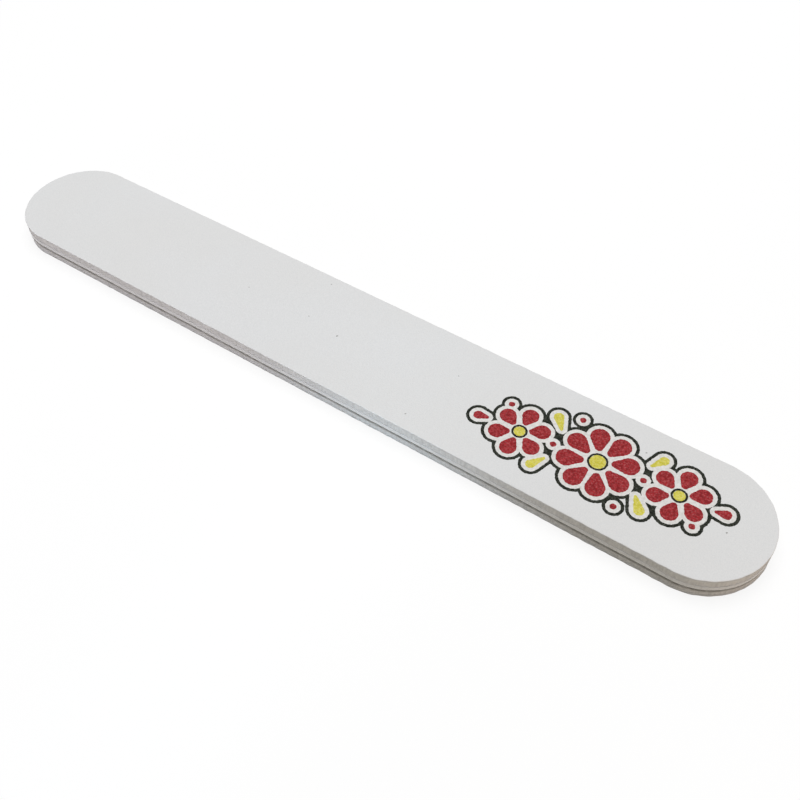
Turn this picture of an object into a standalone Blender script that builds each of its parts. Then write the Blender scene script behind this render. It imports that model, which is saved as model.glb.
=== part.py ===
"""Cushion nail file: a straight board with full round ends, die-cut from a glued stack of layers.

Units are metres, +Z is up and +X runs along the board.
The origin is the middle of the bottom face, which the file rests on.

From the bottom the stack is abrasive sheet, foam pad, core board, foam pad and abrasive sheet,
with a film of adhesive in each of the four joints.
Every layer has the same stadium outline, moved in by a setback that changes up its cut edge.
"""

import math

import bmesh
import bpy

MM = 0.001

# Outline of the die, the widest that any layer reaches
FILE_LENGTH = 178.0 * MM
FILE_WIDTH = 25.4 * MM

# Layer thicknesses
SHEET_THICKNESS = 0.35 * MM
SHEET_ADHESIVE_THICKNESS = 0.10 * MM
FOAM_THICKNESS = 1.40 * MM
CORE_ADHESIVE_THICKNESS = 0.10 * MM
CORE_THICKNESS = 1.20 * MM

# Cut edges: how far each kind of layer stays inside the outline, and how its corners are rounded
SHEET_EDGE_RADIUS = 0.12 * MM
CLOSED_SEAM_SETBACK = 0.10 * MM
OPEN_SEAM_SETBACK = 0.35 * MM
FOAM_SETBACK = 0.06 * MM
FOAM_WAIST = 0.06 * MM
FOAM_CORNER_RADIUS = 0.05 * MM

# The cutting die enters from above and breaks out the board's lower corner, which opens a dark seam there
CORE_UPPER_CORNER_RADIUS = 0.05 * MM
CORE_LOWER_CORNER_RADIUS = 0.25 * MM

# A rounded corner takes up no more than this share of its layer's thickness
CORNER_LIMIT_SHARE = 0.45

# Facets
END_ARC_STEPS = 32
CORNER_STEPS = 3
WAIST_STEPS = 6
SMOOTH_ANGLE = math.radians(35.0)

# Linear colour, roughness
PAPER_WHITE = ((0.73, 0.735, 0.735), 0.9)
FOAM_WHITE = ((0.66, 0.66, 0.66), 0.9)
CORE_WHITE = ((0.70, 0.705, 0.71), 0.5)
GLUE_GREY = ((0.10, 0.09, 0.08), 0.6)


def clear_scene():
    for obj in list(bpy.data.objects):
        bpy.data.objects.remove(obj, do_unlink=True)


def plain_material(name, finish):
    colour, roughness = finish
    material = bpy.data.materials.new(name)
    material.use_nodes = True
    shader = material.node_tree.nodes["Principled BSDF"]
    shader.inputs["Base Color"].default_value = (*colour, 1.0)
    shader.inputs["Roughness"].default_value = roughness
    shader.inputs["Metallic"].default_value = 0.0
    return material


def stadium_ring(bm, setback, height):
    """One closed ring of vertices: the die's outline moved in by the setback, seen from above."""
    end_radius = FILE_WIDTH / 2
    end_centre = FILE_LENGTH / 2 - end_radius
    radius = end_radius - setback
    ring = []
    for side in (1, -1):
        for step in range(END_ARC_STEPS + 1):
            angle = math.pi * (step / END_ARC_STEPS - 0.5)
            x = side * (end_centre + radius * math.cos(angle))
            y = side * radius * math.sin(angle)
            ring.append(bm.verts.new((x, y, height)))
    return ring


def layer_mesh(name, profile):
    """A closed solid from its cut edge, given as (setback, height) pairs from the bottom up."""
    bm = bmesh.new()
    rings = [stadium_ring(bm, setback, height) for setback, height in profile]
    bm.faces.new(reversed(rings[0]))
    bm.faces.new(rings[-1])
    for low, high in zip(rings, rings[1:]):
        for index in range(len(low)):
            after = (index + 1) % len(low)
            bm.faces.new((low[index], low[after], high[after], high[index]))
    mesh = bpy.data.meshes.new(name)
    bm.to_mesh(mesh)
    bm.free()
    mesh.shade_smooth()
    mesh.set_sharp_from_angle(angle=SMOOTH_ANGLE)
    return mesh


def corner(radius, thickness):
    """Points of a quarter round from a face to the cut edge, as (setback, distance from the face)."""
    reach = min(radius, CORNER_LIMIT_SHARE * thickness)
    points = []
    for step in range(CORNER_STEPS + 1):
        angle = math.pi / 2 * step / CORNER_STEPS
        points.append((reach * (1 - math.sin(angle)), reach * (1 - math.cos(angle))))
    return points


def sheet_profile(thickness, abrasive_up):
    """An abrasive sheet: square where it is glued, slightly rounded round its abrasive face."""
    rounded = corner(SHEET_EDGE_RADIUS, thickness)
    if abrasive_up:
        return [(0.0, 0.0)] + [(setback, thickness - depth) for setback, depth in reversed(rounded)]
    return rounded + [(0.0, thickness)]


def core_profile(thickness):
    """The core board: a vertical cut, clean at its upper corner and broken out at its lower one."""
    lower = corner(CORE_LOWER_CORNER_RADIUS, thickness)
    upper = corner(CORE_UPPER_CORNER_RADIUS, thickness)
    return lower + [(setback, thickness - depth) for setback, depth in reversed(upper)]


def adhesive_profile(thickness, setback):
    """A film of adhesive, set back from the cut edge by the depth of its seam."""
    return [(setback, 0.0), (setback, thickness)]


def pad_profile(thickness, core_above):
    """A foam pad: its cut edge is drawn in at mid height, and rolls in where it meets the core."""
    rolled = corner(FOAM_CORNER_RADIUS, thickness)
    straight = thickness - rolled[-1][1]
    points = []
    for step in range(WAIST_STEPS + 1):
        share = step / WAIST_STEPS
        waist = FOAM_WAIST * 4 * share * (1 - share)
        points.append((FOAM_SETBACK + waist, share * straight))
    points += [(FOAM_SETBACK + setback, thickness - depth) for setback, depth in reversed(rolled[:-1])]
    if core_above:
        return points
    return [(setback, thickness - height) for setback, height in reversed(points)]


def layer_stack():
    """Every layer from the bottom up: name, thickness, cut edge and finish."""
    sheet, glue, foam = SHEET_THICKNESS, SHEET_ADHESIVE_THICKNESS, FOAM_THICKNESS
    core, core_glue = CORE_THICKNESS, CORE_ADHESIVE_THICKNESS
    sheet_film = adhesive_profile(glue, CLOSED_SEAM_SETBACK)
    upper_core_film = adhesive_profile(core_glue, CLOSED_SEAM_SETBACK)
    lower_core_film = adhesive_profile(core_glue, OPEN_SEAM_SETBACK)
    lower_pad = pad_profile(foam, core_above=True)
    upper_pad = pad_profile(foam, core_above=False)
    return [
        ("bottom_abrasive_sheet", sheet, sheet_profile(sheet, abrasive_up=False), PAPER_WHITE),
        ("bottom_sheet_adhesive", glue, sheet_film, GLUE_GREY),
        ("lower_foam_pad", foam, lower_pad, FOAM_WHITE),
        ("lower_core_adhesive", core_glue, lower_core_film, GLUE_GREY),
        ("core_board", core, core_profile(core), CORE_WHITE),
        ("upper_core_adhesive", core_glue, upper_core_film, GLUE_GREY),
        ("upper_foam_pad", foam, upper_pad, FOAM_WHITE),
        ("top_sheet_adhesive", glue, sheet_film, GLUE_GREY),
        ("top_abrasive_sheet", sheet, sheet_profile(sheet, abrasive_up=True), PAPER_WHITE),
    ]


def build_file():
    height = 0.0
    for name, thickness, profile, finish in layer_stack():
        layer = bpy.data.objects.new(name, layer_mesh(name, profile))
        layer.data.materials.append(plain_material(name, finish))
        layer.location.z = height
        bpy.context.scene.collection.objects.link(layer)
        height += thickness


clear_scene()
build_file()
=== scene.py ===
"""Looks of a white cushion nail file with a printed ornament at one end.

Everything is in metres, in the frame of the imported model: +X along the file, +Z up, bottom face at z = 0.
Each layer of the file is drawn again with its die-cut edge, and the ornament is a thin film of ink.
"""

import math
from typing import NamedTuple

import bmesh
import bpy
import numpy as np
from mathutils import Matrix, Vector, noise


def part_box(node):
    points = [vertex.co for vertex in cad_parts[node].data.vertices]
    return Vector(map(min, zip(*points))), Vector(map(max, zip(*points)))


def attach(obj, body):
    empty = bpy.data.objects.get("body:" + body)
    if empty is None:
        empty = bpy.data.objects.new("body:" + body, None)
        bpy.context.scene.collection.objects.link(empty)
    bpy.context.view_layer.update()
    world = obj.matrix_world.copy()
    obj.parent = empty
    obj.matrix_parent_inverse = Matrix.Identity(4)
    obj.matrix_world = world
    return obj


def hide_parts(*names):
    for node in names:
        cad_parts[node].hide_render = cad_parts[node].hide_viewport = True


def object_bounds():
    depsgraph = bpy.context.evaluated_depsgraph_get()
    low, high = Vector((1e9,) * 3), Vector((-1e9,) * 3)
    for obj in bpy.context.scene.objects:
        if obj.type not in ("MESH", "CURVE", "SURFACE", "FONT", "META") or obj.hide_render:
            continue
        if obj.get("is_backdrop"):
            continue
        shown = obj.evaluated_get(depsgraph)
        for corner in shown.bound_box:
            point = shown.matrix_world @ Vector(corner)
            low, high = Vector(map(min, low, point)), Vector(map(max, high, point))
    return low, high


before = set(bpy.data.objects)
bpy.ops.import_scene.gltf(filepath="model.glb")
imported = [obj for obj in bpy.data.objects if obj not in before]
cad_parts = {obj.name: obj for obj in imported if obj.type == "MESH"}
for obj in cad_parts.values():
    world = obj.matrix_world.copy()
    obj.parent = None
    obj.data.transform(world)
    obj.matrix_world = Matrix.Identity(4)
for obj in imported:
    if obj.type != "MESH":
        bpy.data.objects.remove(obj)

CAD_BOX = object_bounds()
BODY = "root"
MM = 0.001

# Outline of the file, from the frame
SHEET_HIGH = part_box("top_abrasive_sheet")[1]
END_RADIUS = SHEET_HIGH.y
END_CENTRE = SHEET_HIGH.x - SHEET_HIGH.y
FACE_HEIGHT = SHEET_HIGH.z
SEAM_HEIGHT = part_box("lower_foam_pad")[1].z

# Camera at the photograph's angle
CAMERA_PLACE = Vector((89.00, -101.96, 151.19)) * MM
CAMERA_TARGET = Vector((18.06, -7.32, 5.1)) * MM
CAMERA_ROLL = math.radians(2.932)
CAMERA_LENS_MM = 44.41
CAMERA_SENSOR_MM = 36.0
CAMERA_NEAREST = 1.0 * MM

# Mesh detail of the layers
OUTLINE_STEP = 0.25 * MM
FACE_COLUMNS = 12
CORNER_STEPS = 4
PAD_STEPS = 9
SMOOTH_ANGLE = math.radians(40.0)

# Shape of the cut edges. The margin is a flat ring that keeps the rim's round shading off the face
TOP_RIM_RADIUS = 0.16 * MM
BOTTOM_RIM_RADIUS = 0.06 * MM
RIM_MARGIN = 0.08 * MM
PAD_SETBACK = 0.06 * MM
PAD_WAIST = 0.06 * MM
UPPER_PAD_CORNER_RADIUS = 0.03 * MM
LOWER_PAD_CORNER_RADIUS = 0.12 * MM
CORE_UPPER_CORNER_RADIUS = 0.03 * MM
CORE_LOWER_CORNER_RADIUS = 0.32 * MM
SEAM_SETBACK = 0.42 * MM
CLOSED_SEAM_SETBACK = 0.07 * MM

# A burr that the die left on the near rim of the top sheet
BURR_X = -27.0 * MM
BURR_HALF_LENGTH = 0.35 * MM
BURR_REACH = 0.16 * MM


class Swell(NamedTuple):
    """Waviness of a cut edge: how far it strays, the length of a swell, and its place in the noise."""
    stray: float
    length: float
    seed: float


DIE_SWELL = Swell(0.05 * MM, 9.0 * MM, seed=3.1)
SHEET_SWELL = Swell(0.07 * MM, 1.3 * MM, seed=7.7)
PAD_STREAKS = Swell(0.035 * MM, 0.55 * MM, seed=1.9)
PAD_STREAK_STRETCH = 8.0
PAD_CELLS = Swell(0.02 * MM, 0.3 * MM, seed=5.3)
CORE_SWELL = Swell(0.01 * MM, 0.6 * MM, seed=4.4)
SEAM_SWELL = Swell(0.10 * MM, 2.5 * MM, seed=6.1)


def quarter_round(radius):
    """Points of a quarter round from a face to the cut edge, as (setback, distance from the face)."""
    angles = [math.pi / 2 * step / CORNER_STEPS for step in range(CORNER_STEPS + 1)]
    return [(radius * (1 - math.sin(angle)), radius * (1 - math.cos(angle))) for angle in angles]


def flipped(profile, thickness):
    """The same cut edge upside down."""
    return [(setback, thickness - height) for setback, height in reversed(profile)]


def half_outline():
    """Points and outward normals along the near half of the outline, from the -X tip to the +X tip."""
    arc = END_RADIUS * math.pi / 2
    straight = 2 * END_CENTRE
    length = 2 * arc + straight
    near_side = 1.5 * math.pi
    steps = round(length / OUTLINE_STEP)
    points = []
    for step in range(steps + 1):
        run = length * step / steps
        if run < arc:
            angle = math.pi + run / END_RADIUS
            centre = -END_CENTRE
        elif run > arc + straight:
            angle = near_side + (run - arc - straight) / END_RADIUS
            centre = END_CENTRE
        else:
            angle = near_side
            centre = -END_CENTRE + run - arc
        normal = Vector((math.cos(angle), math.sin(angle), 0))
        points.append((Vector((centre, 0, 0)) + normal * END_RADIUS, normal))
    return points


NEAR_HALF = half_outline()
MIRROR_Y = Matrix.Scale(-1, 3, (0, 1, 0))
FAR_HALF = [(MIRROR_Y @ point, MIRROR_Y @ normal) for point, normal in reversed(NEAR_HALF[1:-1])]
RING = NEAR_HALF + FAR_HALF


def cap_rows(bm, ring, columns):
    """Rows of vertices across a face of the file, from the near rim to the far one.

    The ring starts at the -X tip, so its vertices index and -index lie opposite each other.
    """
    last = len(NEAR_HALF) - 1
    rows = [[ring[0]]]
    for index in range(1, last):
        near, far = ring[index], ring[-index]
        between = [
            bm.verts.new(near.co.lerp(far.co, column / columns)) for column in range(1, columns)
        ]
        rows.append([near, *between, far])
    rows.append([ring[last]])
    return rows


def cap(bm, ring, columns, up, material_index):
    """Closes the ring with a face of quads, or triangles at the two tips."""
    rows = cap_rows(bm, ring, columns)
    for before, after in zip(rows, rows[1:]):
        for column in range(columns):
            if len(before) == 1:
                corners = [before[0], after[column], after[column + 1]]
            elif len(after) == 1:
                corners = [before[column], after[0], before[column + 1]]
            else:
                corners = [before[column], after[column], after[column + 1], before[column + 1]]
            face = bm.faces.new(corners if up else corners[::-1])
            face.material_index = material_index


def add_piece(name, bm, materials):
    """Turns a bmesh into a piece of the file, with the given materials."""
    mesh = bpy.data.meshes.new(name)
    bm.to_mesh(mesh)
    bm.free()
    mesh.shade_smooth()
    mesh.set_sharp_from_angle(angle=SMOOTH_ANGLE)
    for material in materials:
        mesh.materials.append(material)
    piece = bpy.data.objects.new(name, mesh)
    bpy.context.scene.collection.objects.link(piece)
    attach(piece, BODY)
    return piece


def layer_piece(name, node, profile, wobble, materials, open_face=None):
    """A layer of the laminate: the outline swept up a cut edge of (setback, height) points.

    wobble(point, height) gives how far the cut edge strays inwards there.
    The first material covers the cut edge and the last one both faces.
    open_face is the face that is open to view, "top" or "bottom", if one is. That one is made of
    smaller faces, and its material also covers what is nearly flat of its rounded rim.
    """
    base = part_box(node)[0].z
    face_index = len(materials) - 1
    bm = bmesh.new()
    rings = []
    for setback, height in profile:
        ring = []
        for point, normal in RING:
            place = point - normal * (setback + wobble(point, base + height))
            ring.append(bm.verts.new((place.x, place.y, base + height)))
        rings.append(ring)
    for step, (low, high) in enumerate(zip(rings, rings[1:])):
        run = abs(profile[step + 1][0] - profile[step][0])
        rise = profile[step + 1][1] - profile[step][1]
        for index in range(len(low)):
            after = (index + 1) % len(low)
            face = bm.faces.new((low[index], low[after], high[after], high[index]))
            face.material_index = face_index if open_face and rise < run else 0
    for ring, side, up in ((rings[0], "bottom", False), (rings[-1], "top", True)):
        columns = FACE_COLUMNS if side == open_face else 1
        cap(bm, ring, columns, up, face_index)
    piece = add_piece(name, bm, materials)
    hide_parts(node)
    return piece


def wander(point, height, swell):
    """Smooth noise from -1 to 1 whose swells are about as long as this swell's."""
    return noise.noise(Vector((point.x, point.y, height)) / swell.length + Vector((swell.seed, 0, 0)))


def die_wobble(point, height):
    """The slight waviness of the die's own line, which every layer shares."""
    return DIE_SWELL.stray * (0.5 + 0.5 * wander(point, 0, DIE_SWELL))


def sheet_wobble(point, height):
    return die_wobble(point, height) + SHEET_SWELL.stray * wander(point, 0, SHEET_SWELL)


def burred_wobble(point, height):
    """The top sheet's cut edge, with its burr on the near side."""
    along = (point.x - BURR_X) / BURR_HALF_LENGTH
    burr = BURR_REACH * math.exp(-along * along) if point.y < 0 else 0.0
    return sheet_wobble(point, height) - burr


def pad_wobble(point, height):
    """A pad's cut edge: upright streaks from the die, and the foam's cells."""
    streaks = PAD_STREAKS.stray * wander(point, height / PAD_STREAK_STRETCH, PAD_STREAKS)
    cells = PAD_CELLS.stray * wander(point, height, PAD_CELLS)
    return die_wobble(point, height) + streaks + cells


def core_wobble(point, height):
    return die_wobble(point, height) + CORE_SWELL.stray * wander(point, 0, CORE_SWELL)


def seam_wobble(point, height):
    """The open seam's depth, which varies more than the cut edges do."""
    return die_wobble(point, height) + SEAM_SWELL.stray * wander(point, 0, SEAM_SWELL)


# Numbers of the Mix node's sockets where it mixes colours
MIX_SHARE, MIX_FIRST, MIX_SECOND = 0, 6, 7
MIX_RESULT = 2


class Finish:
    """A material whose patterns lie in the file's own space, built up from a plain one."""

    def __init__(self, name, colour, roughness, specular):
        self.material = bpy.data.materials.new(name)
        self.material.use_nodes = True
        self.tree = self.material.node_tree
        self.shader = self.tree.nodes["Principled BSDF"]
        self.shader.inputs["Base Color"].default_value = (*colour, 1)
        self.shader.inputs["Roughness"].default_value = roughness
        self.shader.inputs["Specular IOR Level"].default_value = specular
        self.place = self.tree.nodes.new("ShaderNodeTexCoord").outputs["Object"]
        self.colour = (*colour, 1)
        self.normal = None

    def node(self, kind, inputs, **properties):
        """A new node. Each input takes a value, or a link from another node's socket."""
        made = self.tree.nodes.new(kind)
        for name, value in properties.items():
            setattr(made, name, value)
        for name, value in inputs.items():
            if isinstance(value, bpy.types.NodeSocket):
                self.tree.links.new(value, made.inputs[name])
            else:
                made.inputs[name].default_value = value
        return made

    def at(self, stretch, shift=0.0):
        """Places on the file, moved by the shift and with patterns drawn out by the stretch."""
        shrink = [1 / share for share in stretch]
        moved = self.node("ShaderNodeVectorMath", {0: self.place, 1: (shift, 0, 0)}, operation="ADD")
        return self.node(
            "ShaderNodeVectorMath", {0: moved.outputs[0], 1: shrink}, operation="MULTIPLY"
        ).outputs[0]

    def noise(self, size, detail=2.0, stretch=(1, 1, 1), shift=0.0):
        """Cloudy noise from 0 to 1, mostly between 0.3 and 0.7, with swells of about the size."""
        inputs = {"Vector": self.at(stretch, shift), "Scale": 1 / size, "Detail": detail}
        return self.node("ShaderNodeTexNoise", inputs).outputs[0]

    def grains(self, size, stretch=(1, 1, 1)):
        """How far a place lies from the middle of its grain: 0 there, about 0.6 between grains."""
        inputs = {"Vector": self.at(stretch), "Scale": 1 / size}
        return self.node("ShaderNodeTexVoronoi", inputs).outputs["Distance"]

    def ramp(self, value, first, last, start=0.0, end=1.0):
        """Takes first to start and last to end, evenly between them and no further outside."""
        inputs = {"Value": value, "From Min": first, "From Max": last, "To Min": start, "To Max": end}
        return self.node("ShaderNodeMapRange", inputs).outputs[0]

    def product(self, first, second):
        return self.node("ShaderNodeMath", {0: first, 1: second}, operation="MULTIPLY").outputs[0]

    def height(self):
        return self.node("ShaderNodeSeparateXYZ", {0: self.place}).outputs[2]

    def tint(self, share, colour):
        """Blends the colour so far towards another one."""
        inputs = {MIX_SHARE: share, MIX_FIRST: self.colour, MIX_SECOND: (*colour, 1)}
        self.colour = self.node("ShaderNodeMix", inputs, data_type="RGBA").outputs[MIX_RESULT]
        self.tree.links.new(self.colour, self.shader.inputs["Base Color"])

    def bump(self, height, depth):
        """Raises the surface by the depth where the height is 1."""
        inputs = {"Height": height, "Distance": depth, "Strength": 1.0}
        if self.normal:
            inputs["Normal"] = self.normal
        self.normal = self.node("ShaderNodeBump", inputs).outputs[0]
        self.tree.links.new(self.normal, self.shader.inputs["Normal"])

    def vary_roughness(self, value):
        self.tree.links.new(value, self.shader.inputs["Roughness"])


# Abrasive grain
GRIT_COLOUR = (0.735, 0.740, 0.742)
# Painted shade in the hollows between grains
GRIT_HOLLOW_SHADE_COLOUR = (0.640, 0.650, 0.655)
GRIT_WARM_COLOUR = (0.720, 0.715, 0.700)
GRAIN_SIZE = 0.17 * MM
GRAIN_DEPTH = 0.018 * MM
MOTTLE_SIZE = 22.0 * MM

# Stray dark grains in it: breadth and height as shares of the length, then x, y, radius and turn
STRAY_COLOUR = (0.28, 0.28, 0.27)
STRAY_PALE_COLOUR = (0.42, 0.42, 0.41)
STRAY_BREADTH = 0.75
STRAY_HEIGHT = 0.12
TOP_STRAYS_MM = (
    (-26.1, 0.5, 0.16, 10),
    (-11.9, 10.6, 0.19, 70),
    (-10.2, 0.7, 0.17, 35),
    (-2.0, -0.6, 0.28, 80),
    (24.2, 3.8, 0.17, 20),
    (20.8, -9.5, 0.22, 55),
    (62.4, 6.9, 0.22, 40),
    (81.0, -0.9, 0.24, 65),
)
BOTTOM_STRAYS_MM = (
    (-71.5, 3.1, 0.15, 25),
    (-48.3, -6.4, 0.13, 60),
    (-19.8, 8.2, 0.18, 5),
    (7.7, -2.9, 0.14, 75),
    (33.6, 5.5, 0.16, 45),
    (58.9, -8.1, 0.12, 15),
)

# Ink: the grain shows through it, and flecks of it are thin or worn
INK_FLECK_SIZE = 0.50 * MM
INK_BARE_SIZE = 0.30 * MM
INK_BARE_SHIFT = 7.0 * MM

# Cut edges: colours, and the size, stretch and depth of each pattern
PAPER_COLOUR = (0.60, 0.60, 0.595)
PAPER_SHADE_COLOUR = (0.47, 0.47, 0.46)
PAPER_FIBRE_SIZE = 0.22 * MM
PAPER_FIBRE_STRETCH = (1.6, 1.6, 0.7)
PAPER_FIBRE_DEPTH = 0.03 * MM
FOAM_COLOUR = (0.66, 0.66, 0.66)
FOAM_DARK_COLOUR = (0.41, 0.41, 0.41)
FOAM_PALE_COLOUR = (0.78, 0.78, 0.78)
# Painted shade on the lower pad's cut edge, just under the open seam
FOAM_SEAM_SHADE_COLOUR = (0.20, 0.19, 0.17)
FOAM_SHADE_SIZE = 11.0 * MM
FOAM_SHADE_STRETCH = (1, 1, 4)
FOAM_DRAG_SIZE = 0.42 * MM
FOAM_DRAG_STRETCH = (1, 1, 7)
FOAM_DRAG_DEPTH = 0.045 * MM
FOAM_CELL_SIZE = 0.15 * MM
FOAM_CELL_STRETCH = (1, 1, 1.3)
FOAM_CELL_DEPTH = 0.022 * MM
# Patch size, shift, reach and full depth of that painted shade under the seam
SEAM_SHADE_PATCH_SIZE = 1.1 * MM
SEAM_SHADE_SHIFT = 3.0 * MM
SEAM_SHADE_REACH = 0.70 * MM
SEAM_SHADE_FULL = 0.28 * MM
CORE_COLOUR = (0.68, 0.685, 0.69)
CORE_MARK_COLOUR = (0.52, 0.52, 0.52)
CORE_MARK_SIZE = 0.30 * MM
CORE_MARK_STRETCH = (1, 1, 12)
CORE_MARK_DEPTH = 0.012 * MM
GRIME_SIZE = 0.6 * MM
GRIME_DEPTH = 0.03 * MM


def grain_relief(finish):
    """The grain that shows in the abrasive and through the ink on it: returns its hollows, 0 to 1."""
    hollows = finish.ramp(finish.grains(GRAIN_SIZE), first=0.25, last=0.75)
    finish.bump(hollows, -GRAIN_DEPTH)
    return hollows


def grit_material(name, shift):
    """White abrasive grain in a matt coat."""
    finish = Finish(name, GRIT_COLOUR, roughness=0.9, specular=0.25)
    hollows = grain_relief(finish)
    mottle = finish.noise(MOTTLE_SIZE, shift=shift)
    finish.tint(finish.ramp(mottle, first=0.35, last=0.65, end=0.5), GRIT_WARM_COLOUR)
    # Painted shade: the hollows between grains are darker in colour
    finish.tint(finish.ramp(hollows, first=0.0, last=1.0, end=0.45), GRIT_HOLLOW_SHADE_COLOUR)
    return finish.material


def stray_material():
    """Dark abrasive grain, paler where its facets are dusty."""
    finish = Finish("stray_grain", STRAY_COLOUR, roughness=0.6, specular=0.5)
    dust = finish.noise(GRAIN_SIZE)
    finish.tint(finish.ramp(dust, first=0.4, last=0.6), STRAY_PALE_COLOUR)
    finish.bump(dust, GRAIN_DEPTH)
    return finish.material


def ink_material(name, colour, fleck_colour, bare_share):
    """Matt ink printed on the grain: mottled, with painted shade in the grain's hollows, and worn where it
    is thin.
    """
    finish = Finish(name, colour, roughness=0.8, specular=0.12)
    hollows = grain_relief(finish)
    flecks = finish.noise(INK_FLECK_SIZE)
    finish.tint(finish.ramp(flecks, first=0.36, last=0.66), fleck_colour)
    # Painted shade: the ink is darker in the grain's hollows
    finish.tint(finish.ramp(hollows, first=0.0, last=1.0, end=0.2), fleck_colour)
    thin = finish.ramp(flecks, first=0.64, last=0.38, start=0.15)
    wear = finish.noise(INK_BARE_SIZE, shift=INK_BARE_SHIFT)
    bare = finish.ramp(wear, first=0.4, last=0.7, end=bare_share)
    finish.tint(finish.product(thin, bare), GRIT_COLOUR)
    return finish.material


def rim_material():
    """Cut edge of the abrasive sheet: paper fibre under a crust of white grain."""
    finish = Finish("cut_paper", PAPER_COLOUR, roughness=0.85, specular=0.3)
    fibres = finish.noise(PAPER_FIBRE_SIZE, detail=3.0, stretch=PAPER_FIBRE_STRETCH)
    finish.tint(finish.ramp(fibres, first=0.45, last=0.70, end=0.5), PAPER_SHADE_COLOUR)
    finish.bump(fibres, PAPER_FIBRE_DEPTH)
    return finish.material


def foam_material(name, seam_shaded):
    """Die-cut closed-cell foam: opened cells with painted shade in them, upright drag marks, and, if
    seam_shaded, patchy painted shade just under the open seam.
    """
    finish = Finish(name, FOAM_COLOUR, roughness=0.9, specular=0.2)
    shade = finish.noise(FOAM_SHADE_SIZE, stretch=FOAM_SHADE_STRETCH)
    finish.tint(finish.ramp(shade, first=0.35, last=0.65, end=0.12), FOAM_DARK_COLOUR)
    drag = finish.noise(FOAM_DRAG_SIZE, detail=3.0, stretch=FOAM_DRAG_STRETCH)
    finish.tint(finish.ramp(drag, first=0.50, last=0.68, end=0.40), FOAM_DARK_COLOUR)
    finish.tint(finish.ramp(drag, first=0.45, last=0.30, end=0.45), FOAM_PALE_COLOUR)
    cells = finish.grains(FOAM_CELL_SIZE, stretch=FOAM_CELL_STRETCH)
    opened = finish.ramp(cells, first=0.45, last=0.10)
    # Painted shade: the opened cells are darker in colour as well as sunk by the bump
    finish.tint(finish.ramp(opened, first=0.0, last=1.0, end=0.30), FOAM_DARK_COLOUR)
    if seam_shaded:
        # Painted shade under the core's overhang at the open seam, in patches
        height = finish.height()
        near = finish.ramp(height, first=SEAM_HEIGHT - SEAM_SHADE_REACH, last=SEAM_HEIGHT - SEAM_SHADE_FULL)
        patches = finish.noise(SEAM_SHADE_PATCH_SIZE, shift=SEAM_SHADE_SHIFT)
        strength = finish.ramp(patches, first=0.30, last=0.60, start=0.45, end=0.80)
        finish.tint(finish.product(near, strength), FOAM_SEAM_SHADE_COLOUR)
    finish.bump(opened, -FOAM_CELL_DEPTH)
    finish.bump(drag, FOAM_DRAG_DEPTH)
    return finish.material


def core_material():
    """Satin white plastic board, with fine upright marks from the die."""
    finish = Finish("core_plastic", CORE_COLOUR, roughness=0.5, specular=0.4)
    marks = finish.noise(CORE_MARK_SIZE, stretch=CORE_MARK_STRETCH)
    finish.tint(finish.ramp(marks, first=0.50, last=0.70, end=0.35), CORE_MARK_COLOUR)
    finish.vary_roughness(finish.ramp(marks, first=0.3, last=0.7, start=0.42, end=0.62))
    finish.bump(marks, CORE_MARK_DEPTH)
    return finish.material


def glue_material(name, colour, grime_colour):
    """Pressed-out adhesive that has picked up dust."""
    finish = Finish(name, colour, roughness=0.6, specular=0.3)
    grime = finish.noise(GRIME_SIZE, detail=3.0)
    finish.tint(finish.ramp(grime, first=0.4, last=0.65), grime_colour)
    finish.bump(grime, GRIME_DEPTH)
    return finish.material


CUT_PAPER = rim_material()
TOP_GRIT = grit_material("white_grit_top", shift=0.0)
BOTTOM_GRIT = grit_material("white_grit_bottom", shift=MOTTLE_SIZE)
STRAY_GRAIN = stray_material()
UPPER_FOAM = foam_material("upper_foam", seam_shaded=False)
LOWER_FOAM = foam_material("lower_foam", seam_shaded=True)
CORE_PLASTIC = core_material()
# The open seam's glue is darker than the closed seams' clear glue: a real glue layer, with painted shade of
# the gap under the core
SHADED_SEAM_GLUE = glue_material("shaded_seam_glue", colour=(0.22, 0.205, 0.19), grime_colour=(0.14, 0.13, 0.12))
CLEAR_GLUE = glue_material("clear_glue", colour=(0.62, 0.62, 0.61), grime_colour=(0.50, 0.50, 0.49))

RED_INK = ink_material(
    "red_ink", colour=(0.390, 0.019, 0.025), fleck_colour=(0.212, 0.012, 0.015), bare_share=0.115,
)
YELLOW_INK = ink_material(
    "yellow_ink", colour=(0.70, 0.635, 0.075), fleck_colour=(0.53, 0.48, 0.05), bare_share=0.30,
)
DARK_INK = ink_material(
    "dark_ink", colour=(0.024, 0.028, 0.017), fleck_colour=(0.003, 0.005, 0.002), bare_share=0.07,
)
WHITE_INK = ink_material(
    "white_ink", colour=(0.775, 0.765, 0.745), fleck_colour=(0.64, 0.63, 0.605), bare_share=0.3,
)


def thickness_of(node):
    low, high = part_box(node)
    return high.z - low.z


def pad_profile(thickness, corner_radius):
    """Cut edge of a pad from its sheet to the core: drawn in at mid height, rolled in at the core."""
    straight = thickness - corner_radius
    profile = []
    for step in range(PAD_STEPS + 1):
        share = step / PAD_STEPS
        profile.append((PAD_SETBACK + PAD_WAIST * 4 * share * (1 - share), share * straight))
    rolled = flipped(quarter_round(corner_radius), thickness)
    return profile + [(PAD_SETBACK + setback, height) for setback, height in rolled[1:]]


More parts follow.
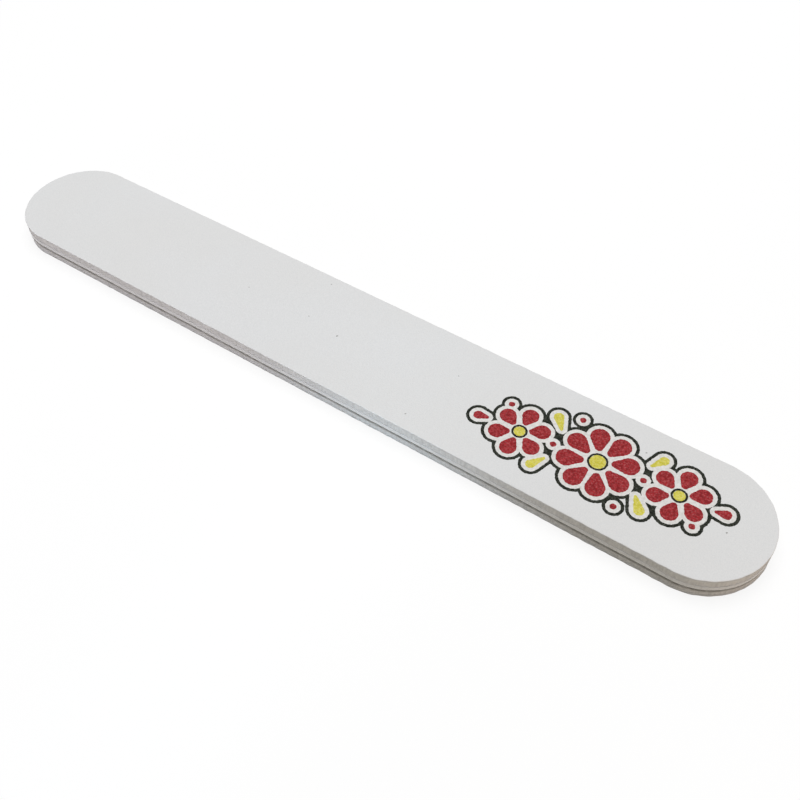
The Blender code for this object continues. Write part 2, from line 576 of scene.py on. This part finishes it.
def build_sheets():
    thickness = thickness_of("top_abrasive_sheet")
    top = [
        (0.0, 0.0),
        *flipped(quarter_round(TOP_RIM_RADIUS), thickness),
        (TOP_RIM_RADIUS + RIM_MARGIN, thickness),
    ]
    bottom = [
        (BOTTOM_RIM_RADIUS + RIM_MARGIN, 0.0),
        *quarter_round(BOTTOM_RIM_RADIUS),
        (0.0, thickness),
    ]
    layer_piece(
        "top_sheet", "top_abrasive_sheet", top, burred_wobble,
        [CUT_PAPER, TOP_GRIT], open_face="top",
    )
    layer_piece(
        "bottom_sheet", "bottom_abrasive_sheet", bottom, sheet_wobble,
        [CUT_PAPER, BOTTOM_GRIT], open_face="bottom",
    )


def build_strays(name, places, height):
    """Dark grains, half sunk in an abrasive face."""
    bm = bmesh.new()
    for x, y, radius, turn in places:
        place = Matrix.Translation(Vector((x, y, 0)) * MM + Vector((0, 0, height)))
        squash = Matrix.Diagonal((1, STRAY_BREADTH, STRAY_HEIGHT, 1))
        shape = place @ Matrix.Rotation(math.radians(turn), 4, "Z") @ squash
        bmesh.ops.create_icosphere(bm, subdivisions=1, radius=radius * MM, matrix=shape)
    add_piece(name, bm, [STRAY_GRAIN])


def build_pads():
    thickness = thickness_of("upper_foam_pad")
    lower = pad_profile(thickness, LOWER_PAD_CORNER_RADIUS)
    upper = flipped(pad_profile(thickness, UPPER_PAD_CORNER_RADIUS), thickness)
    for name, node, profile, materials in (
        # The lower pad's faces take the dark seam glue: painted shade on the pad's top under the core's
        # overhang
        ("lower_pad", "lower_foam_pad", lower, [LOWER_FOAM, SHADED_SEAM_GLUE]),
        ("upper_pad", "upper_foam_pad", upper, [UPPER_FOAM]),
    ):
        piece = layer_piece(name, node, profile, pad_wobble, materials)


def build_core():
    lower = quarter_round(CORE_LOWER_CORNER_RADIUS)
    upper = flipped(quarter_round(CORE_UPPER_CORNER_RADIUS), thickness_of("core_board"))
    layer_piece("core", "core_board", lower + upper, core_wobble, [CORE_PLASTIC])


def build_glue():
    for name, node, setback, wobble, material in (
        ("bottom_sheet_glue", "bottom_sheet_adhesive", CLOSED_SEAM_SETBACK, die_wobble, CLEAR_GLUE),
        # The open seam's glue is painted dark as the shade of the gap
        ("lower_core_glue", "lower_core_adhesive", SEAM_SETBACK, seam_wobble, SHADED_SEAM_GLUE),
        ("upper_core_glue", "upper_core_adhesive", CLOSED_SEAM_SETBACK, die_wobble, CLEAR_GLUE),
        ("top_sheet_glue", "top_sheet_adhesive", CLOSED_SEAM_SETBACK, die_wobble, CLEAR_GLUE),
    ):
        profile = [(setback, 0.0), (setback, thickness_of(node))]
        layer_piece(name, node, profile, wobble, [material])


# The printed ornament: a row of three flowers, drawn in millimetres from its middle
PRINT_MIDDLE = Vector((56.0, 0.0)) * MM
PRINT_HALF_LENGTH_MM = 27.0
PRINT_HALF_WIDTH_MM = 10.5
PRINT_GRID_MM = 0.12
PRINT_SINK = 0.005 * MM
INK_THICKNESS = 0.010 * MM

# Bands round the motifs, and how ragged the grain makes the edges of the ink
HALO_WIDTH_MM = 0.75
OUTLINE_WIDTH_MM = 0.60
INK_STRAY_MM = 0.09
INK_SWELL_MM = 0.38

# Islands and holes of ink smaller than this close up
SPECK_AREA = 0.3 * MM * MM


class Flower(NamedTuple):
    """Its middle, its number of petals, and the radius of its heart.

    A petal's foot and tip are each given as how far out it lies and its half width.
    """
    middle: tuple
    count: int
    foot: tuple
    tip: tuple
    heart_radius: float


FLOWERS = (
    Flower((0.0, 0.3), count=8, foot=(3.2, 0.75), tip=(5.7, 1.85), heart_radius=1.5),
    Flower((-15.2, -1.4), count=6, foot=(2.4, 0.65), tip=(4.2, 1.6), heart_radius=1.1),
    Flower((15.2, 1.6), count=6, foot=(2.4, 0.65), tip=(4.2, 1.6), heart_radius=1.1),
)
SEED_RING_WIDTH_MM = 0.42

# Leaves and buds: foot, half width there, tip, half width there. Berries: their middles
LEAVES = (
    ((-8.9, 3.2), 0.30, (-10.7, 5.5), 1.00),
    ((8.9, -2.7), 0.30, (10.7, -5.0), 1.00),
    ((-8.5, -4.3), 0.30, (-9.9, -6.7), 0.90),
    ((8.5, 4.8), 0.30, (9.9, 7.0), 0.90),
)
BUDS = (
    ((-21.9, -1.8), 0.35, (-23.6, -2.2), 0.95),
    ((21.9, 2.0), 0.35, (23.6, 2.4), 0.95),
)
BERRIES = ((-8.6, -0.6), (8.6, 1.1), (-19.6, 3.4), (19.6, -3.0), (-6.6, 7.3), (6.6, -6.7))
BERRY_RADIUS_MM = 0.6

PRINT_X, PRINT_Y = np.meshgrid(
    np.arange(-PRINT_HALF_LENGTH_MM, PRINT_HALF_LENGTH_MM, PRINT_GRID_MM),
    np.arange(-PRINT_HALF_WIDTH_MM, PRINT_HALF_WIDTH_MM, PRINT_GRID_MM),
    indexing="ij",
)


def disc(middle, radius):
    """Distance outside a disc, negative inside, at every point of the print's grid."""
    return np.hypot(PRINT_X - middle[0], PRINT_Y - middle[1]) - radius


def drop(foot, foot_radius, tip, tip_radius):
    """Distance outside a drop: two circles and the straight sides that touch both."""
    length = math.dist(foot, tip)
    ahead = ((tip[0] - foot[0]) / length, (tip[1] - foot[1]) / length)
    x, y = PRINT_X - foot[0], PRINT_Y - foot[1]
    along = x * ahead[0] + y * ahead[1]
    across = np.abs(x * ahead[1] - y * ahead[0])
    slope = (foot_radius - tip_radius) / length
    rise = math.sqrt(1 - slope * slope)
    station = along * rise - across * slope
    return np.select(
        [station < 0, station > rise * length],
        [np.hypot(across, along) - foot_radius, np.hypot(across, along - length) - tip_radius],
        across * rise + along * slope - foot_radius,
    )


def petals(flower):
    """Drops that point at the flower's middle, set evenly round it."""
    shapes = []
    for index in range(flower.count):
        angle = math.tau * (index + 0.5) / flower.count
        foot, tip = (
            (flower.middle[0] + reach * math.cos(angle), flower.middle[1] + reach * math.sin(angle))
            for reach, half_width in (flower.foot, flower.tip)
        )
        shapes.append(drop(foot, flower.foot[1], tip, flower.tip[1]))
    return shapes


def joined(shapes):
    return np.minimum.reduce(shapes)


def ink_regions():
    """The print's films of ink: the distance outside each, its material and its level.

    Level 0 is the file's face and level 1 the top of the white ink.
    """
    red, yellow, dark = [], [], []
    for flower in FLOWERS:
        red += petals(flower)
        yellow.append(disc(flower.middle, flower.heart_radius))
        ring = disc(flower.middle, flower.heart_radius + SEED_RING_WIDTH_MM / 2)
        dark.append(np.abs(ring) - SEED_RING_WIDTH_MM / 2)
    yellow += [drop(*leaf) for leaf in LEAVES]
    red += [drop(*bud) for bud in BUDS]
    red += [disc(berry, BERRY_RADIUS_MM) for berry in BERRIES]
    ragged = np.array([
        [noise.noise(Vector((x, y, 0)) / INK_SWELL_MM) for x, y in zip(xs, ys)]
        for xs, ys in zip(PRINT_X, PRINT_Y)
    ])
    stray = INK_STRAY_MM * ragged
    motifs = joined(red + yellow + dark) + stray
    halo = motifs - HALO_WIDTH_MM - OUTLINE_WIDTH_MM / 2
    return {
        "print_white": (halo, WHITE_INK, 0),
        "print_outline": (np.abs(halo) - OUTLINE_WIDTH_MM / 2, DARK_INK, 1),
        "print_red": (joined(red) + stray, RED_INK, 1),
        "print_yellow": (joined(yellow) + stray, YELLOW_INK, 1),
        "print_dark": (joined(dark) + stray, DARK_INK, 1),
    }


def edge_point(distances, edge):
    """Where the distance is zero on a line between two neighbours of the grid, in the file's metres."""
    here, there = edge
    share = distances[here] / (distances[here] - distances[there])
    x = PRINT_X[here] + share * (PRINT_X[there] - PRINT_X[here])
    y = PRINT_Y[here] + share * (PRINT_Y[there] - PRINT_Y[here])
    return PRINT_MIDDLE.x + x * MM, PRINT_MIDDLE.y + y * MM


def boundary_loops(distances):
    """Closed loops of points round the places where the distance is negative.

    In each square of the grid that it crosses, the boundary runs from the side where a walk round
    the square's corners leaves the inside to the side where it enters the inside again.
    """
    inside = distances < 0
    squares = np.stack([inside[:-1, :-1], inside[1:, :-1], inside[1:, 1:], inside[:-1, 1:]])
    crossed = squares.any(axis=0) & ~squares.all(axis=0)
    follows = {}
    for i, j in np.argwhere(crossed).tolist():
        corners = [(i, j), (i + 1, j), (i + 1, j + 1), (i, j + 1)]
        crossings = []
        for here, there in zip(corners, corners[1:] + corners[:1]):
            if inside[here] != inside[there]:
                crossings.append((inside[here], tuple(sorted((here, there)))))
        if not crossings[0][0]:
            crossings = crossings[1:] + crossings[:1]
        for (_, leaving), (_, entering) in zip(crossings[::2], crossings[1::2]):
            follows[leaving] = entering
    while follows:
        first, edge = follows.popitem()
        loop = [edge_point(distances, first)]
        while edge != first:
            loop.append(edge_point(distances, edge))
            edge = follows.pop(edge)
        yield loop


def area_inside(loop):
    """Area inside a closed loop of points."""
    products = [
        here[0] * there[1] - there[0] * here[1] for here, there in zip(loop, loop[1:] + loop[:1])
    ]
    return abs(sum(products)) / 2


def ink_piece(name, distances, material, level):
    """A film of ink as a closed solid, with its foot just under the level that it is printed on."""
    base = FACE_HEIGHT + level * INK_THICKNESS
    bm = bmesh.new()
    edges = []
    for loop in boundary_loops(distances):
        if area_inside(loop) < SPECK_AREA:
            continue
        ring = [bm.verts.new((x, y, base - PRINT_SINK)) for x, y in loop]
        for here, there in zip(ring, ring[1:] + ring[:1]):
            edges.append(bm.edges.new((here, there)))
    bmesh.ops.triangle_fill(bm, edges=edges, use_beauty=True)
    raised = bmesh.ops.extrude_face_region(bm, geom=bm.faces[:], use_keep_orig=True)["geom"]
    tops = [part for part in raised if isinstance(part, bmesh.types.BMVert)]
    bmesh.ops.translate(bm, verts=tops, vec=(0, 0, PRINT_SINK + INK_THICKNESS))
    bmesh.ops.recalc_face_normals(bm, faces=bm.faces[:])
    add_piece(name, bm, [material])


def build_print():
    for name, (distances, material, level) in ink_regions().items():
        ink_piece(name, distances, material, level)


# Stage: the floor that the camera sees glows, the floor that lights the file is a duller one
WHITE = (1.0, 1.0, 1.0)
FLOOR_HALF_SIZE = 3000 * MM
FLOOR_COLOUR = (0.69, 0.64, 0.53)
FLOOR_GLOW_SHARE = 0.85
FLOOR_SHADOW_REACH = 150 * MM
FLOOR_GLOW_REACH = 500 * MM
WORLD_LEVEL = 0.25


class Lamp(NamedTuple):
    """A rectangular soft light, with its lengths in millimetres and its spread in degrees."""
    name: str
    place: tuple
    aim: tuple
    width: float
    height: float
    watts: float
    colour: tuple
    spread: float


LAMPS = (
    Lamp("overhead", (-90, 180, 880), (0, 0, 0), 700, 700, 7.16, WHITE, 180),
    Lamp("front", (-45, -130, 14), (-45, -13, 2), 170, 40, 0.0073, (0.90, 0.85, 1.0), 30),
    Lamp("middle", (18, -130, 14), (18, -13, 2), 30, 40, 0.0014, (0.50, 0.84, 1.0), 30),
    Lamp("right", (260, -30, 40), (88, 0, 2), 80, 40, 0.0076, (1.0, 0.71, 0.54), 60),
)


def seen_directly(tree):
    """1 for rays that show the surface itself: to the camera, in a reflection or through glass."""
    path = tree.nodes.new("ShaderNodeLightPath")
    seen = path.outputs["Is Camera Ray"]
    for name in ("Is Glossy Ray", "Is Transmission Ray"):
        either = tree.nodes.new("ShaderNodeMath")
        either.operation = "MAXIMUM"
        tree.links.new(seen, either.inputs[0])
        tree.links.new(path.outputs[name], either.inputs[1])
        seen = either.outputs[0]
    return seen


def mixed_shader(tree, share, first, second):
    mix = tree.nodes.new("ShaderNodeMixShader")
    tree.links.new(share, mix.inputs["Fac"])
    tree.links.new(first, mix.inputs[1])
    tree.links.new(second, mix.inputs[2])
    return mix.outputs[0]


def diffuse_shader(tree, colour):
    shader = tree.nodes.new("ShaderNodeBsdfDiffuse")
    shader.inputs["Color"].default_value = (*colour, 1)
    return shader.outputs[0]


def glow_share(tree):
    """How much of the floor's look is its glow: it takes a shadow near the file and none far from it."""
    place = tree.nodes.new("ShaderNodeTexCoord").outputs["Object"]
    distance = tree.nodes.new("ShaderNodeVectorMath")
    distance.operation = "LENGTH"
    tree.links.new(place, distance.inputs[0])
    share = tree.nodes.new("ShaderNodeMapRange")
    share.inputs["From Min"].default_value = FLOOR_SHADOW_REACH
    share.inputs["From Max"].default_value = FLOOR_GLOW_REACH
    share.inputs["To Min"].default_value = FLOOR_GLOW_SHARE
    tree.links.new(distance.outputs["Value"], share.inputs["Value"])
    return share.outputs[0]


def floor_material():
    material = bpy.data.materials.new("floor")
    material.use_nodes = True
    tree = material.node_tree
    tree.nodes.clear()
    glow = tree.nodes.new("ShaderNodeEmission")
    shown = mixed_shader(tree, glow_share(tree), diffuse_shader(tree, WHITE), glow.outputs[0])
    surface = mixed_shader(tree, seen_directly(tree), diffuse_shader(tree, FLOOR_COLOUR), shown)
    out = tree.nodes.new("ShaderNodeOutputMaterial")
    tree.links.new(surface, out.inputs["Surface"])
    return material


def build_floor():
    bm = bmesh.new()
    bmesh.ops.create_grid(bm, x_segments=1, y_segments=1, size=FLOOR_HALF_SIZE)
    mesh = bpy.data.meshes.new("floor")
    bm.to_mesh(mesh)
    bm.free()
    mesh.materials.append(floor_material())
    floor = bpy.data.objects.new("floor", mesh)
    bpy.context.scene.collection.objects.link(floor)
    floor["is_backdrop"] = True


def build_world():
    """A dim even studio that looks white where it is seen directly."""
    world = bpy.data.worlds.new("studio")
    bpy.context.scene.world = world
    world.use_nodes = True
    tree = world.node_tree
    background = tree.nodes["Background"]
    background.inputs["Color"].default_value = (*WHITE, 1)
    level = tree.nodes.new("ShaderNodeMapRange")
    level.inputs["To Min"].default_value = WORLD_LEVEL
    tree.links.new(seen_directly(tree), level.inputs["Value"])
    tree.links.new(level.outputs[0], background.inputs["Strength"])


def build_lamps():
    for lamp in LAMPS:
        data = bpy.data.lights.new(lamp.name, "AREA")
        data.shape = "RECTANGLE"
        data.size = lamp.width * MM
        data.size_y = lamp.height * MM
        data.energy = lamp.watts
        data.color = lamp.colour
        data.spread = math.radians(lamp.spread)
        light = bpy.data.objects.new(lamp.name, data)
        light.location = Vector(lamp.place) * MM
        light.rotation_mode = "QUATERNION"
        light.rotation_quaternion = (Vector(lamp.aim) - Vector(lamp.place)).to_track_quat("-Z", "Y")
        light.visible_camera = False
        bpy.context.scene.collection.objects.link(light)


def build_camera():
    data = bpy.data.cameras.new("camera")
    data.lens = CAMERA_LENS_MM
    data.sensor_width = CAMERA_SENSOR_MM
    data.clip_start = CAMERA_NEAREST
    camera = bpy.data.objects.new("camera", data)
    ahead = (CAMERA_TARGET - CAMERA_PLACE).normalized()
    level = ahead.cross(Vector((0, 0, 1))).normalized()
    upright = level.cross(ahead)
    up = upright * math.cos(CAMERA_ROLL) + level * math.sin(CAMERA_ROLL)
    right = ahead.cross(up)
    turn = Matrix((right, up, -ahead)).transposed()
    camera.matrix_world = Matrix.Translation(CAMERA_PLACE) @ turn.to_4x4()
    bpy.context.scene.collection.objects.link(camera)
    bpy.context.scene.camera = camera


bpy.context.scene.view_settings.view_transform = "Standard"
build_camera()
build_sheets()
build_pads()
build_core()
build_glue()
build_strays("stray_grains_top", TOP_STRAYS_MM, FACE_HEIGHT)
build_strays("stray_grains_bottom", BOTTOM_STRAYS_MM, 0.0)
build_print()
build_floor()
build_world()
build_lamps()

boxes = {"cad": CAD_BOX, "visual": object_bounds()}
{name: [list(corner) for corner in box] for name, box in boxes.items()}
